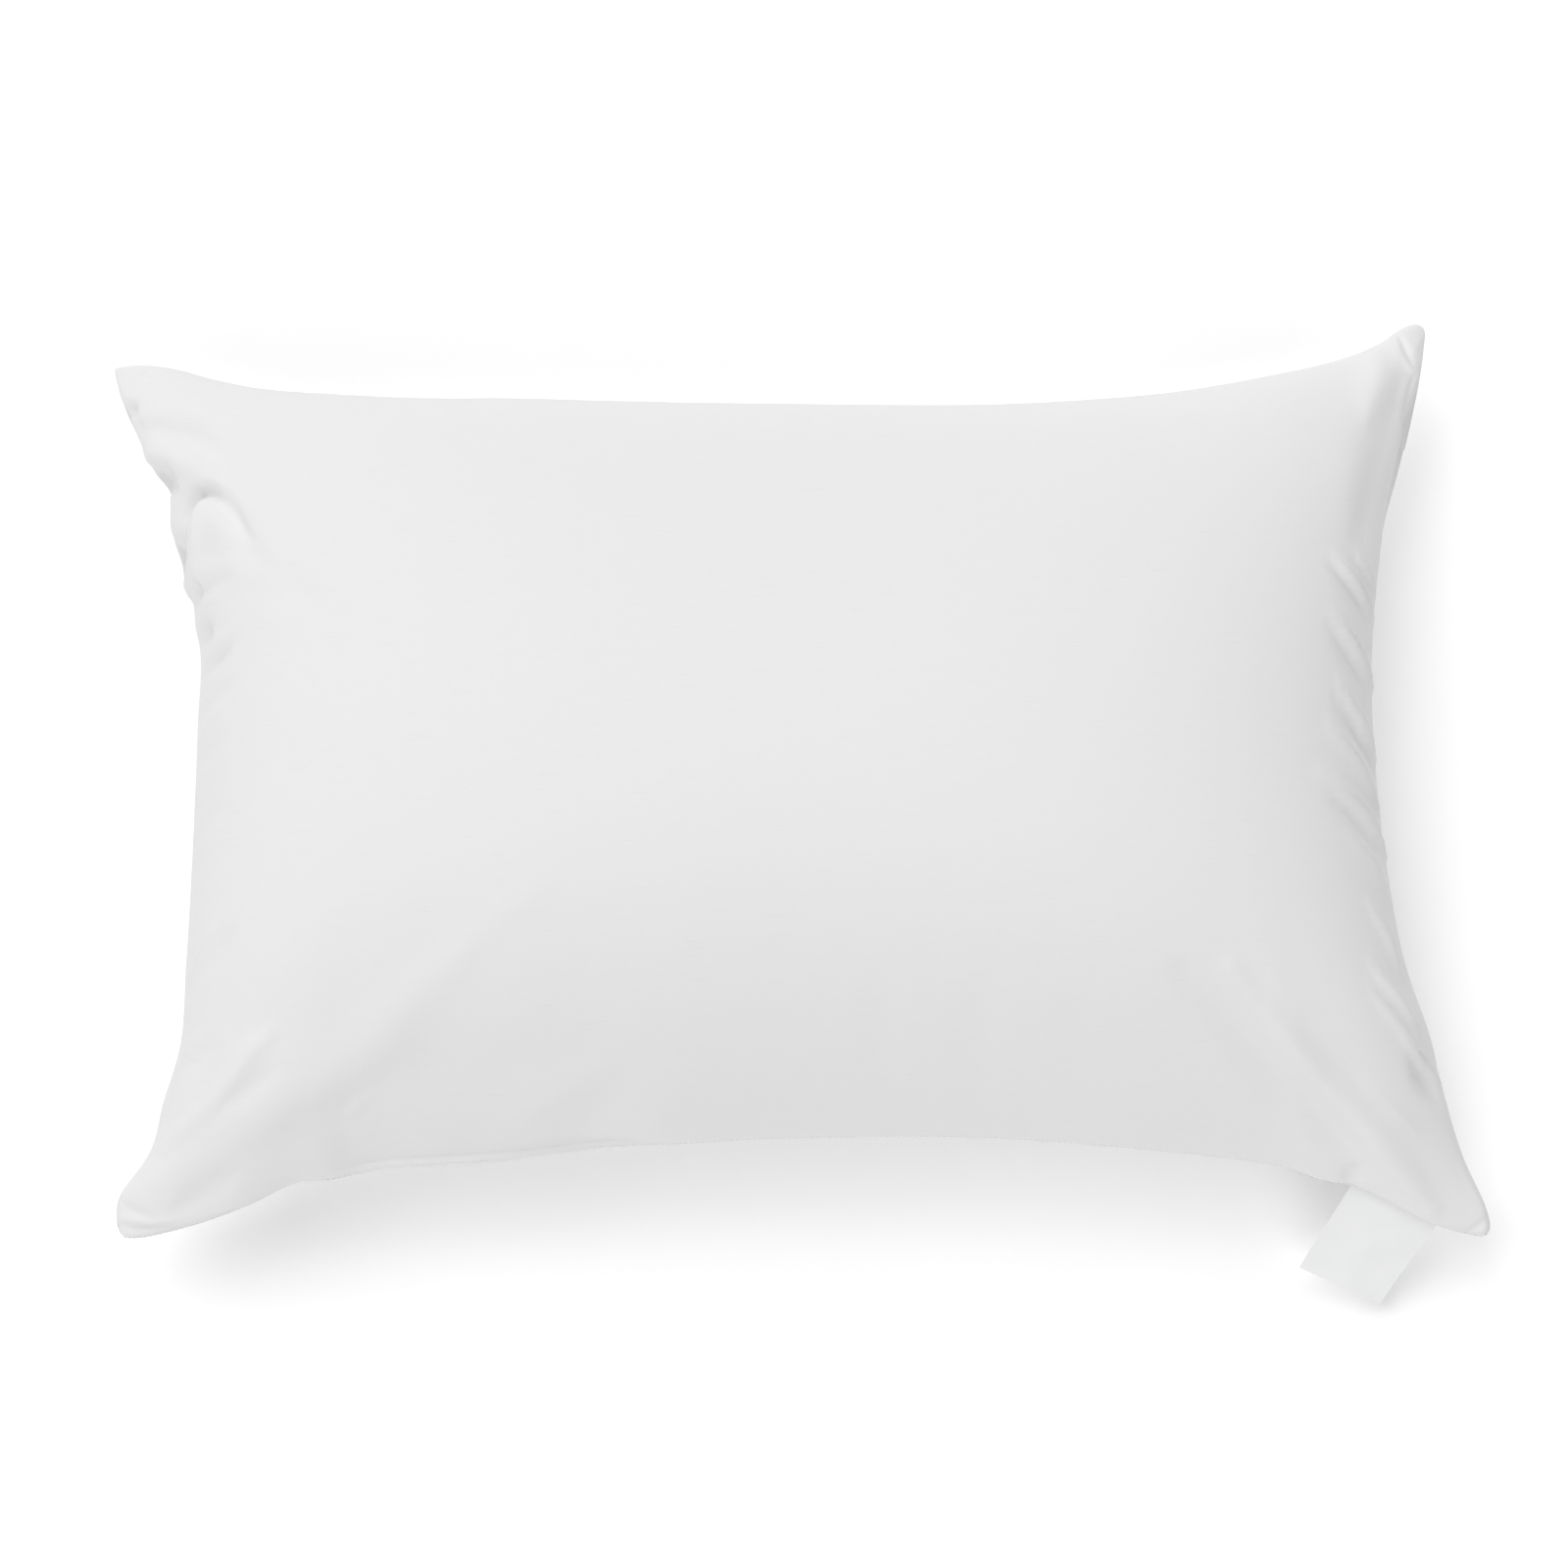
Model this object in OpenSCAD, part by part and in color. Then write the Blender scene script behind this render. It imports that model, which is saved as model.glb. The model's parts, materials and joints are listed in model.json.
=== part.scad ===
// Bed pillow, queen size, filled and lying on its underside.
// Two woven cotton panels hold a loose fibre filling. The back, left and right edges are
// overlocked inside out; the front edge is the closing seam, topstitched after filling.
// Millimetres, +Z up, X along the pillow's length, front (closing seam) towards -Y.
// The origin is on the flat patch that the pillow rests on.

/* [Outline] */
// Front edge from corner tip to corner tip
front_length = 727; // [560:1:960]
// Back edge from corner tip to corner tip
back_length = 718; // [560:1:960]
// Left edge from corner tip to corner tip
left_depth = 470; // [380:1:600]
// Right edge from corner tip to corner tip
right_depth = 488; // [380:1:600]
// How far the back edge lies to the right of the front edge
back_shift = -18; // [-40:1:40]
// How far the front and back edges bow in at their middles
long_edge_bow = 44; // [15:1:60]
// How far the left and right edges bow in at their middles
short_edge_bow = 43; // [15:1:60]
// How suddenly the edges turn out to the corner tips
bow_sharpness = 2.7; // [2:0.1:4]

/* [Filled shape] */
// Height of the seam above the surface at the middle of each edge
seam_height = 78; // [70:1:100]
// How much lower the seam is at the corner tips
corner_drop = 34; // [10:1:40]
// Height of the crown above the seam
crown_height = 112; // [85:1:135]
// How full the crown is: 2 is an ellipse
crown_fullness = 2.1; // [2:0.1:3]
// How full the underside is: 2 is an ellipse
underside_fullness = 2.8; // [2.4:0.1:3.4]
// How far the filling would sag below the surface if the flat patch didn't stop it
underside_press = 5; // [3:0.5:8]

/* [Cloth and seams] */
// Thickness of the woven cotton
cloth_t = 0.5; // [0.4:0.1:1]
// Width of the cloth turned in along every edge
seam_allowance = 10; // [7:0.5:13]
// Gap left between the two panels where they lie together
panel_gap = 0.2; // [0.1:0.05:0.4]
// Width of the rounded fold along the back, left and right edges
fold_lip = 0.8; // [0.6:0.1:1.5]
// Width of the pressed strip along the closing seam
closing_strip = 5; // [4:0.5:8]

/* [Threads] */
// Thickness of a thread row
thread_t = 0.4; // [0.3:0.1:0.6]
// Gap between a thread row and the cloth
thread_gap = 0.1; // [0.05:0.05:0.2]
// How far the overlock thread reaches in from the raw edge
overlock_bite = 4; // [3:0.5:6]
// Distance of the topstitch from the outer edge of the closing strip
topstitch_inset = 2; // [1.5:0.1:2.5]
// Width of the topstitch row
topstitch_w = 0.8; // [0.6:0.1:1.2]

/* [Filling] */
// Gap between the filling and the cloth above and below it
fill_gap = 1.3; // [1.2:0.1:2]
// How far the filling stops short of the seam all round
fill_rim_gap = 4; // [4:0.5:7]

/* [Care label] */
// Width of the label along the seam
label_w = 50; // [40:1:60]
// Length of the label from the seam to its free end
label_l = 62; // [50:1:70]
// Thickness of the label
label_t = 0.3; // [0.2:0.1:0.5]
// Distance of the label from the right front corner tip, along the front edge
label_from_corner = 21; // [15:1:60]
// How far the label hangs below level at rest
label_droop = 36; // [25:1:40]
// Gap between the label and the closing strip
label_gap = 0.6; // [0.5:0.1:1]

/* [Hidden] */
front_steps = 24;
side_steps = 16;
rings = 10;
around = 2 * (front_steps + side_steps);
half_gap = panel_gap / 2;
half_x = (front_length + back_length) / 4;
half_y = (left_depth + right_depth) / 4;
front_mid_x = -back_shift / 2;
back_mid_x = back_shift / 2;
corner_fl = [front_mid_x - front_length / 2, -left_depth / 2];
corner_fr = [front_mid_x + front_length / 2, -right_depth / 2];
corner_bl = [back_mid_x - back_length / 2, left_depth / 2];
corner_br = [back_mid_x + back_length / 2, right_depth / 2];
corner_drop_power = 3;
overlock_in = thread_gap + thread_t;
bite_start = seam_allowance - overlock_bite;
groove_half = half_gap + cloth_t + overlock_in + fill_gap;
groove_depth = seam_allowance + overlock_in + fill_gap;
cloth_colour = [0.94, 0.94, 0.94];
thread_colour = [0.90, 0.90, 0.89];
fibre_colour = [0.97, 0.97, 0.95];
label_colour = [0.88, 0.88, 0.88];

// ---- seam outline and seam surface, in u and v from -1 to 1 across the pillow ----

function mix(a, b, k) = a + (b - a) * k;
function part_way(k) = (k + 1) / 2;
function bow(k) = 1 - pow(abs(k), bow_sharpness);
function front_edge(u) = mix(corner_fl, corner_fr, part_way(u)) + [0, long_edge_bow * bow(u)];
function back_edge(u) = mix(corner_bl, corner_br, part_way(u)) - [0, long_edge_bow * bow(u)];
function left_edge(v) = mix(corner_fl, corner_bl, part_way(v)) + [short_edge_bow * bow(v), 0];
function right_edge(v) = mix(corner_fr, corner_br, part_way(v)) - [short_edge_bow * bow(v), 0];
function straight(u, v) =
    mix(mix(corner_fl, corner_fr, part_way(u)), mix(corner_bl, corner_br, part_way(u)), part_way(v));
function plan(u, v) =
    mix(front_edge(u), back_edge(u), part_way(v))
    + mix(left_edge(v), right_edge(v), part_way(u))
    - straight(u, v);
function seam_z(u, v) = seam_height - corner_drop * pow(abs(u * v), corner_drop_power);
function swell(u, v, fullness) =
    sqrt(max(0, (1 - pow(abs(u), fullness)) * (1 - pow(abs(v), fullness))));

// The edge of the u-v square as points, anticlockwise from the front left corner
function edge_uv(i) =
    i < front_steps ? [2 * i / front_steps - 1, -1] :
    i < front_steps + side_steps ? [1, 2 * (i - front_steps) / side_steps - 1] :
    i < 2 * front_steps + side_steps ? [1 - 2 * (i - front_steps - side_steps) / front_steps, 1] :
    [-1, 1 - 2 * (i - 2 * front_steps - side_steps) / side_steps];
function inset(uv, d) = [uv.x * (1 - d / half_x), uv.y * (1 - d / half_y)];
function ring_share(k) = sin(90 * k / rings);

// ---- points and rings ----

// A point on the seam surface, d in from edge point i and dz off the surface
function seam_point(i, d, dz) =
    let (uv = inset(edge_uv(i), d))
    [each plan(uv.x, uv.y), seam_z(uv.x, uv.y) + dz];

// The outer edge of the fold, or of the pressed strip along the closing seam. The strip
// narrows to a plain fold at the corner tips
function lip_point(i, dz) =
    let (uv = edge_uv(i))
    let (out = inset(uv, -fold_lip))
    let (strip = uv.y == -1 && abs(uv.x) < 1 ? closing_strip - fold_lip : 0)
    [each (plan(out.x, out.y) - [0, strip]), seam_z(uv.x, uv.y) + dz];

// A point on the turned-in allowance, and one on the fold or strip outside the seam
function allowance_point(i, d, dz) =
    mix(seam_point(i, 0, dz), seam_point(i, seam_allowance, dz), d / seam_allowance);
function strip_point(i, d, dz) =
    mix(seam_point(i, 0, dz), lip_point(i, dz), d / closing_strip);

function seam_ring(d, dz) = [for (i = [0:around - 1]) seam_point(i, d, dz)];
function bite_ring(dz) = [for (i = [0:around - 1]) allowance_point(i, bite_start, dz)];
function lip_ring(dz) = [for (i = [0:around - 1]) lip_point(i, dz)];

// One ring of a dome that starts dz off the seam surface, d in from the edge, and is h high
function dome_ring(share, d, dz, h, fullness, floor_z) = [for (i = [0:around - 1])
    let (at = share * edge_uv(i))
    let (uv = inset(at, d))
    [each plan(uv.x, uv.y),
     max(floor_z, seam_z(uv.x, uv.y) + dz + h * swell(at.x, at.y, fullness))]];
function dome_rings(d, dz, h, fullness, floor_z) =
    [for (k = [1:rings]) dome_ring(ring_share(k), d, dz, h, fullness, floor_z)];
function dome_top(dz, h, floor_z) = [each plan(0, 0), max(floor_z, seam_height + dz + h)];

function reversed(list) = [for (i = [len(list) - 1:-1:0]) list[i]];
function flat_list(list) = [for (ring = list) each ring];
function reach(point) = norm([point.x, point.y]);

// A four-sided wall as two triangles. Every wall is split from its outer corner at one end to
// its inner corner at the next, so sheets that lie together have the same facets
function wall(outer, outer_next, inner, inner_next, outer_leads) =
    outer_leads
    ? [[outer, outer_next, inner_next], [outer, inner_next, inner]]
    : [[outer, inner_next, outer_next], [outer, inner, inner_next]];

// ---- closed solids from rings ----

// A solid whose skin runs from one pole through every ring to the other pole
module ring_solid(pole_a, ring_list, pole_b) {
    count = len(ring_list);
    points = [pole_a, each flat_list(ring_list), pole_b];
    last = len(points) - 1;
    cap_a = [for (i = [0:around - 1]) [0, 1 + (i + 1) % around, 1 + i]];
    cap_b = [for (i = [0:around - 1])
        let (base = 1 + (count - 1) * around)
        [last, base + i, base + (i + 1) % around]];
    walls = [for (r = [0:count - 2]) for (i = [0:around - 1])
        let (a = 1 + r * around + i)
        let (b = 1 + r * around + (i + 1) % around)
        each (reach(ring_list[r][0]) < reach(ring_list[r + 1][0])
            ? wall(a + around, b + around, a, b, false)
            : wall(a, b, a + around, b + around, true))];
    polyhedron(points = points, faces = concat(cap_a, walls, cap_b), convexity = 6);
}

// A bar whose section is swept through the rows, which follow each other clockwise round the
// pillow. Each section point is [distance in from the edge, height]; end_faces close each end
module swept_bar(rows, section, end_faces) {
    n = len(section);
    m = len(rows);
    walls = [for (r = [0:m - 2]) for (i = [0:n - 1])
        let (j = (i + 1) % n)
        let (a = r * n + i)
        let (b = r * n + j)
        each (section[j].x < section[i].x
            ? wall(a, a + n, b, b + n, true)
            : wall(b, b + n, a, a + n, false))];
    final = [for (f = end_faces) [(m - 1) * n + f[0], (m - 1) * n + f[2], (m - 1) * n + f[1]]];
    polyhedron(points = flat_list(rows), faces = concat(end_faces, walls, final), convexity = 6);
}

// ---- the pieces ----

module shell_top_panel() {
    rise = crown_height - half_gap - cloth_t;
    under = half_gap;
    over = half_gap + cloth_t;
    color(cloth_colour)
    ring_solid(
        dome_top(over, rise, 0),
        concat(
            dome_rings(0, over, rise, crown_fullness, 0),
            [lip_ring(over), lip_ring(under), seam_ring(0, under)],
            [bite_ring(under), seam_ring(seam_allowance, under)],
            [seam_ring(seam_allowance, over), bite_ring(over)],
            reversed(dome_rings(cloth_t, over, rise - cloth_t, crown_fullness, 0))
        ),
        dome_top(over, rise - cloth_t, 0)
    );
}

module shell_bottom_panel() {
    drop = seam_height + underside_press - half_gap - cloth_t;
    over = -half_gap;
    under = -half_gap - cloth_t;
    color(cloth_colour)
    ring_solid(
        dome_top(under, cloth_t - drop, cloth_t),
        concat(
            dome_rings(cloth_t, under, cloth_t - drop, underside_fullness, cloth_t),
            [bite_ring(under), seam_ring(seam_allowance, under)],
            [seam_ring(seam_allowance, over), bite_ring(over)],
            [seam_ring(0, over), lip_ring(over), lip_ring(under)],
            reversed(dome_rings(0, under, -drop, underside_fullness, 0))
        ),
        dome_top(under, -drop, 0)
    );
}

module fibre_filling() {
    rise = crown_height - cloth_t - fill_gap - groove_half;
    drop = seam_height + underside_press - cloth_t - fill_gap - groove_half;
    floor_z = cloth_t + fill_gap;
    color(fibre_colour)
    ring_solid(
        dome_top(groove_half, rise, 0),
        concat(
            dome_rings(fill_rim_gap, groove_half, rise, crown_fullness, 0),
            [seam_ring(groove_depth, groove_half), seam_ring(groove_depth, -groove_half)],
            reversed(dome_rings(fill_rim_gap, -groove_half, -drop, underside_fullness, floor_z))
        ),
        dome_top(-groove_half, -drop, floor_z)
    );
}

// The overlock thread wraps both raw edges, so its section is a C that opens to the seam. It
// runs between edge points first and last
module overlock(first, last) {
    near = half_gap + cloth_t + thread_gap;
    far = near + thread_t;
    wrap = seam_allowance + thread_gap;
    back = wrap + thread_t;
    section = [[bite_start, far], [back, far], [back, -far], [bite_start, -far],
               [bite_start, -near], [wrap, -near], [wrap, near], [bite_start, near]];
    rows = [for (i = [last:-1:first]) [for (q = section) allowance_point(i, q.x, q.y)]];
    ends = [[0, 1, 6], [0, 6, 7], [1, 2, 5], [1, 5, 6], [2, 3, 4], [2, 4, 5]];
    color(thread_colour)
    swept_bar(rows, section, ends);
}

module back_overlock_thread() {
    overlock(front_steps + side_steps + 1, 2 * front_steps + side_steps - 1);
}

module left_overlock_thread() {
    overlock(2 * front_steps + side_steps + 1, around - 1);
}

module right_overlock_thread() {
    overlock(front_steps + 1, front_steps + side_steps - 1);
}

// A row of topstitching on the closing strip, from low to high off the seam surface
module topstitch(low, high) {
    outer = closing_strip - topstitch_inset + topstitch_w / 2;
    inner = outer - topstitch_w;
    section = [[-outer, low], [-outer, high], [-inner, high], [-inner, low]];
    rows = [for (i = [front_steps - 1:-1:1]) [for (q = section) strip_point(i, -q.x, q.y)]];
    color(thread_colour)
    swept_bar(rows, section, [[0, 1, 2], [0, 2, 3]]);
}

module closing_needle_thread() {
    low = half_gap + cloth_t + thread_gap;
    topstitch(low, low + thread_t);
}

module closing_bobbin_thread() {
    high = -half_gap - cloth_t - thread_gap;
    topstitch(high - thread_t, high);
}

// The label's sewn edge is a straight line just outside the closing strip
module care_label() {
    far_u = 1 - label_from_corner / half_x;
    near_u = far_u - label_w / half_x;
    out = closing_strip + label_gap;
    a = [each (front_edge(near_u) - [0, out]), seam_z(near_u, 1)];
    b = [each (front_edge(far_u) - [0, out]), seam_z(far_u, 1)];
    run = norm([b.x - a.x, b.y - a.y]);
    yaw = atan2(b.y - a.y, b.x - a.x);
    pitch = atan2(b.z - a.z, run);
    color(label_colour)
    translate(a)
    rotate([0, -pitch, yaw])
    rotate([label_droop, 0, 0])
    translate([(norm(b - a) - label_w) / 2, -label_l, -label_t / 2])
    cube([label_w, label_l, label_t]);
}

shell_top_panel();
shell_bottom_panel();
fibre_filling();
back_overlock_thread();
left_overlock_thread();
right_overlock_thread();
closing_needle_thread();
closing_bobbin_thread();
care_label();
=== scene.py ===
"""Queen-size bed pillow: a plain woven cotton bag with a knife edge, filled and lying flat.

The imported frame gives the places. This script makes the cloth bag by simulating the two cut
panels over the filling's shape, adds the sewn details and the label, and dresses each piece.
"""

import json
import logging
import math
from dataclasses import dataclass, field
from enum import Enum
from typing import Iterable, Sequence

import bpy
import numpy as np
from bpy.types import Material, Node, NodeSocket, NodeTree, Object
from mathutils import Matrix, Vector


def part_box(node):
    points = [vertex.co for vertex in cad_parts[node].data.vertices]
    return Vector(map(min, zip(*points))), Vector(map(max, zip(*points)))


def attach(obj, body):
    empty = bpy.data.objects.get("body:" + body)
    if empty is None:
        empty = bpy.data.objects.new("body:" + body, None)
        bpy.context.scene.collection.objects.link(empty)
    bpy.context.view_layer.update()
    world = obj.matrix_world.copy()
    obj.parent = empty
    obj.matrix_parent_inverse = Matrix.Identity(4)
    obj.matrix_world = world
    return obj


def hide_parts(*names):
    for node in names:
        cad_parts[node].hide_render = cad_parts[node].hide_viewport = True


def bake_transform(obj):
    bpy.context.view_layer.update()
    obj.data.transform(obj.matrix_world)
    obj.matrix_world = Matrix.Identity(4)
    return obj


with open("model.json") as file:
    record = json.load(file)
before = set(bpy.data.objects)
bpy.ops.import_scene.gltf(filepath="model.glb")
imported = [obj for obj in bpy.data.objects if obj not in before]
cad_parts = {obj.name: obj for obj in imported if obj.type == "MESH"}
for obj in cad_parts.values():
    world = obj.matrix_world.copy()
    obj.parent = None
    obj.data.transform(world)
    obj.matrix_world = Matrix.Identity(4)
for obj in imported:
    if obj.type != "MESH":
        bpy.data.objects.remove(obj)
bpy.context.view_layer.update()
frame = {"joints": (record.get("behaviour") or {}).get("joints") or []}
LOG = logging.getLogger("pillow")
SEED = 11
MM = 0.001
HALF_CUT = (0.381, 0.254)  # half the flat-cut panel, from seam to seam
TINY = 1e-9


class Side(Enum):
    """Which face of the pillow a panel makes."""

    TOP = 1
    UNDER = -1


# ---------------------------------------------------------------- small helpers


def linear(hex_colour: str) -> tuple[float, float, float, float]:
    """Turn an sRGB hex colour into linear values.

    Args:
        hex_colour: six hex digits.

    Returns:
        Red, green, blue and an alpha of 1.
    """
    parts = [int(hex_colour[i : i + 2], 16) / 255 for i in (0, 2, 4)]
    curve = [c / 12.92 if c <= 0.04045 else ((c + 0.055) / 1.055) ** 2.4 for c in parts]
    return (*curve, 1.0)


def wave_scale(pitch_mm: float) -> float:
    """The scale at which a wave texture repeats at about this pitch, in mm, as drawn here."""
    return math.pi / (10 * pitch_mm * MM)


def smooth(low: float, high: float, value: np.ndarray) -> np.ndarray:
    """Ease from 0 below low to 1 above high.

    Args:
        low: where the rise starts.
        high: where it ends.
        value: the values to ease.

    Returns:
        Weights from 0 to 1.
    """
    t = np.clip((value - low) / (high - low), 0.0, 1.0)
    return t * t * (3 - 2 * t)


def add(tree: NodeTree, kind: str, links: dict | None = None, **settings: object) -> Node:
    """Add one node with its settings, socket values and incoming links.

    Args:
        tree: the node tree.
        kind: the node's type name.
        links: input name or index to an output socket to link, or a value to set.
        settings: attributes of the node itself.

    Returns:
        The new node.
    """
    node = tree.nodes.new(kind)
    for name, value in settings.items():
        setattr(node, name, value)
    for name, value in (links or {}).items():
        socket = node.inputs[name]
        if isinstance(value, NodeSocket):
            tree.links.new(value, socket)
        else:
            socket.default_value = value
    return node


def new_object(name: str, points: Iterable, faces: Sequence, smooth_faces: bool = True) -> Object:
    """Make a mesh object from points and faces, in the frame's own place.

    Args:
        name: the piece's name.
        points: vertex places in metres.
        faces: lists of vertex numbers.
        smooth_faces: whether the faces are shaded smooth.

    Returns:
        The linked object.
    """
    mesh = bpy.data.meshes.new(name)
    places = [tuple(map(float, point)) for point in points]
    mesh.from_pydata(places, [], [tuple(map(int, face)) for face in faces])
    mesh.update()
    mesh.shade_smooth() if smooth_faces else mesh.shade_flat()
    piece = bpy.data.objects.new(name, mesh)
    bpy.context.scene.collection.objects.link(piece)
    return piece


def new_wire(name: str, line: np.ndarray) -> Object:
    """Make a mesh object of edges alone, from each point of a line to the next.

    Args:
        name: the piece's name.
        line: the points in order, in metres.

    Returns:
        The linked object.
    """
    piece = new_object(name, line, [])
    ends = np.stack([np.arange(len(line) - 1), np.arange(1, len(line))], axis=1)
    piece.data.edges.add(len(ends))
    piece.data.edges.foreach_set("vertices", ends.ravel())
    piece.data.update()
    return piece


def get_points(piece: Object) -> np.ndarray:
    """The piece's vertices as an array of places."""
    flat = np.empty(len(piece.data.vertices) * 3)
    piece.data.vertices.foreach_get("co", flat)
    return flat.reshape(-1, 3)


def set_points(piece: Object, points: np.ndarray) -> None:
    """Move the piece's vertices to the given places."""
    piece.data.vertices.foreach_set("co", points.astype(np.float32).ravel())
    piece.data.update()


def bake_modifiers(piece: Object) -> None:
    """Turn the evaluated piece into a plain mesh and remove its modifiers."""
    bpy.context.view_layer.update()
    graph = bpy.context.evaluated_depsgraph_get()
    mesh = bpy.data.meshes.new_from_object(piece.evaluated_get(graph), depsgraph=graph)
    piece.modifiers.clear()
    if piece.data.shape_keys:
        piece.shape_key_clear()
    piece.data = mesh


# ---------------------------------------------------------------- finishes


@dataclass(frozen=True)
class Finish:
    """A real material and how its surface was made."""

    name: str
    base: str

    def material(self) -> Material:
        """Build the material and link its shader to the output."""
        made = bpy.data.materials.new(self.name)
        made.use_nodes = True
        tree = made.node_tree
        tree.nodes.clear()
        out = add(tree, "ShaderNodeOutputMaterial")
        tree.links.new(self.shader(tree).outputs[0], out.inputs["Surface"])
        return made

    def shader(self, tree: NodeTree) -> Node:
        """Build the surface's shader. Each finish has its own.

        Args:
            tree: the material's empty tree.

        Returns:
            The shader node.
        """
        raise NotImplementedError


@dataclass(frozen=True)
class WovenCotton(Finish):
    """Plain woven pillow cotton: matt, close, with faint thicker weft yarns."""

    name: str = "percale_cotton_woven"
    base: str = "E8E8E8"
    shade: str = "E5E5E5"
    yarn_mm: float = 1.1
    slub_mm: tuple[float, float] = (24.0, 1.1)

    def shader(self, tree: NodeTree) -> Node:
        """Build the cloth's shader on its flat-cut UV map, which is in metres.

        Args:
            tree: the material's empty tree.

        Returns:
            The shader node.
        """
        cut = add(tree, "ShaderNodeUVMap", uv_map="cut")
        # a slub is a thicker length of weft yarn: long across, one yarn high, a touch darker
        per_metre = (1 / (self.slub_mm[0] * MM), 1 / (self.slub_mm[1] * MM), 1.0)
        weft = add(tree, "ShaderNodeMapping", {"Vector": cut.outputs["UV"], "Scale": per_metre})
        slubs = add(
            tree, "ShaderNodeTexNoise",
            {"Vector": weft.outputs[0], "Scale": 1.0, "Detail": 2.0, "Roughness": 0.6},
        )
        streak = add(
            tree, "ShaderNodeMapRange",
            {"Value": slubs.outputs["Fac"], "From Min": 0.60, "From Max": 0.74},
        )
        tone = add(
            tree, "ShaderNodeMix",
            {"Factor": streak.outputs[0], "A": linear(self.base), "B": linear(self.shade)},
            data_type="RGBA",
        )
        # the yarns are 0.3 mm apart in the real cloth; drawn coarser so that they show
        waves = [
            add(
                tree, "ShaderNodeTexWave",
                {
                    "Vector": cut.outputs["UV"],
                    "Scale": wave_scale(self.yarn_mm),
                    "Distortion": 0.6,
                    "Detail": 1.0,
                },
                bands_direction=way,
            )
            for way in ("X", "Y")
        ]
        weave = add(
            tree, "ShaderNodeMath",
            {0: waves[0].outputs["Fac"], 1: waves[1].outputs["Fac"]},
            operation="MAXIMUM",
        )
        raised = add(
            tree, "ShaderNodeMath",
            {0: slubs.outputs["Fac"], 1: 0.6, 2: weave.outputs[0]},
            operation="MULTIPLY_ADD",
        )
        bump = add(
            tree, "ShaderNodeBump", {"Height": raised.outputs[0], "Strength": 0.08, "Distance": 0.2 * MM}
        )
        # close matt cotton: a faint sheen at grazing angles and no clear highlight
        return add(
            tree, "ShaderNodeBsdfPrincipled",
            {
                "Base Color": tone.outputs["Result"],
                "Roughness": 0.86,
                "Normal": bump.outputs[0],
                "Sheen Weight": 0.18,
                "Sheen Roughness": 0.45,
                "Specular IOR Level": 0.25,
            },
        )


@dataclass(frozen=True)
class SpunThread(Finish):
    """Spun polyester sewing thread: twisted, satin."""

    name: str = "spun_polyester_thread"
    base: str = "E6E6E4"
    twist_mm: float = 1.2

    def shader(self, tree: NodeTree) -> Node:
        """Build the thread's shader.

        Args:
            tree: the material's empty tree.

        Returns:
            The shader node.
        """
        place = add(tree, "ShaderNodeTexCoord")
        # the plies lie slantwise across the thread and catch the light one by one
        ply = add(
            tree, "ShaderNodeTexWave",
            {
                "Vector": place.outputs["Object"],
                "Scale": wave_scale(self.twist_mm),
                "Distortion": 0.4,
            },
            bands_direction="DIAGONAL",
        )
        bump = add(
            tree, "ShaderNodeBump", {"Height": ply.outputs["Fac"], "Strength": 0.4, "Distance": 0.1 * MM}
        )
        return add(
            tree, "ShaderNodeBsdfPrincipled",
            {
                "Base Color": linear(self.base),
                "Roughness": 0.55,
                "Normal": bump.outputs[0],
                "Sheen Weight": 0.3,
            },
        )


@dataclass(frozen=True)
class LabelTape(Finish):
    """Coated non-woven polyester label stock: flat, papery, matt."""

    name: str = "nonwoven_label_tape"
    base: str = "F3F3F3"
    cloud: str = "ECEDED"
    fibre_mm: float = 0.9
    cloud_scale: float = 60.0

    def shader(self, tree: NodeTree) -> Node:
        """Build the label's shader.

        Args:
            tree: the material's empty tree.

        Returns:
            The shader node.
        """
        place = add(tree, "ShaderNodeTexCoord").outputs["Object"]
        # pressed fibres give a fine papery tooth and a slightly cloudy white
        fibre = add(
            tree, "ShaderNodeTexNoise",
            {"Vector": place, "Scale": 1 / (self.fibre_mm * MM), "Detail": 3.0},
        )
        cloudy = add(
            tree, "ShaderNodeTexNoise", {"Vector": place, "Scale": self.cloud_scale, "Detail": 1.0}
        )
        tone = add(
            tree, "ShaderNodeMix",
            {"Factor": cloudy.outputs["Fac"], "A": linear(self.base), "B": linear(self.cloud)},
            data_type="RGBA",
        )
        bump = add(
            tree, "ShaderNodeBump",
            {"Height": fibre.outputs["Fac"], "Strength": 0.12, "Distance": 0.2 * MM},
        )
        return add(
            tree, "ShaderNodeBsdfPrincipled",
            {"Base Color": tone.outputs["Result"], "Roughness": 0.7, "Normal": bump.outputs[0]},
        )


# ---------------------------------------------------------------- the pillow's form


@dataclass(frozen=True)
class EdgeProfile:
    """How far one sewn edge pulls in from the straight line between its two corners."""

    stations: tuple[tuple[float, float], ...]

    def inset(self, share: np.ndarray) -> np.ndarray:
        """Smooth inset along the edge.

        Args:
            share: places along the edge from 0 to 1.

        Returns:
            The inset in metres.
        """
        place, inset = np.array(self.stations).T
        slope = np.gradient(inset, place)
        slope[[0, -1]] = np.diff(inset)[[0, -1]] / np.diff(place)[[0, -1]]
        i = np.clip(np.searchsorted(place, share, side="right") - 1, 0, len(place) - 2)
        step = place[i + 1] - place[i]
        s = (share - place[i]) / step
        # a cubic through both stations with the slope of each
        rise = (2 * s**3 - 3 * s**2 + 1) * inset[i] + (3 * s**2 - 2 * s**3) * inset[i + 1]
        lean = (s**3 - 2 * s**2 + s) * slope[i] + (s**3 - s**2) * slope[i + 1]
        return MM * (rise + lean * step)


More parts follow.
